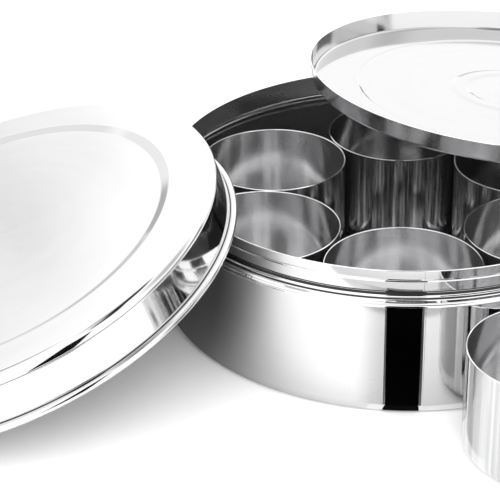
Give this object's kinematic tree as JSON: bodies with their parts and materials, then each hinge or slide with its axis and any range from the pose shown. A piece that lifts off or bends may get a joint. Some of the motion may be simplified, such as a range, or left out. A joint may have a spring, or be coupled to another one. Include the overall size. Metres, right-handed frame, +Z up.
{
  "type": "spice box",
  "caption": "Round stainless steel spice box with a necked mouth, deep slip-over outer lid, shallow dish inner lid and loose round spice bowls in a ring.",
  "frame": {"origin": "on the box's axis, at the underside of its base", "axes": "+Z up along the box's axis; -Y is the front, where one bowl stands on the table; the outer lid leans at -X and the inner lid lies towards +X +Y"},
  "size_m": [0.4029, 0.3082, 0.0821],
  "materials": {
    "box_steel": "polished",
    "outer_lid_steel": "polished",
    "inner_lid_steel": "polished",
    "bowl_steel": "satin"
  },
  "bodies": {
    "box": {"box_body": "box_steel"},
    "outer_lid": {"outer_lid": "outer_lid_steel"},
    "inner_lid": {"inner_lid": "inner_lid_steel"},
    "bowl_1": {"bowl_1": "bowl_steel"},
    "bowl_2": {"bowl_2": "bowl_steel"},
    "bowl_3": {"bowl_3": "bowl_steel"},
    "bowl_4": {"bowl_4": "bowl_steel"},
    "bowl_5": {"bowl_5": "bowl_steel"},
    "bowl_6": {"bowl_6": "bowl_steel"},
    "bowl_7": {"bowl_7": "bowl_steel"}
  },
  "joints": [
    {"name": "outer_lid_lift", "type": "slide", "parent": "box", "child": "outer_lid", "axis": [0, 0, 1], "range_m": [0, 0.12]},
    {"name": "inner_lid_lift", "type": "slide", "parent": "box", "child": "inner_lid", "axis": [0, 0, 1], "range_m": [0, 0.12]},
    {"name": "bowl_1_lift", "type": "slide", "parent": "box", "child": "bowl_1", "axis": [0, 0, 1], "range_m": [0, 0.018]},
    {"name": "bowl_2_lift", "type": "slide", "parent": "box", "child": "bowl_2", "axis": [0, 0, 1], "range_m": [0, 0.013]},
    {"name": "bowl_3_lift", "type": "slide", "parent": "box", "child": "bowl_3", "axis": [0, 0, 1], "range_m": [0, 0.015]},
    {"name": "bowl_4_lift", "type": "slide", "parent": "box", "child": "bowl_4", "axis": [0, 0, 1], "range_m": [0, 0.022]},
    {"name": "bowl_5_lift", "type": "slide", "parent": "box", "child": "bowl_5", "axis": [0, 0, 1], "range_m": [0, 0.014]},
    {"name": "bowl_6_lift", "type": "slide", "parent": "box", "child": "bowl_6", "axis": [0, 0, 1], "range_m": [0, 0.12]},
    {"name": "bowl_7_lift", "type": "slide", "parent": "box", "child": "bowl_7", "axis": [0, 0, 1], "range_m": [0, 0.12]}
  ]
}
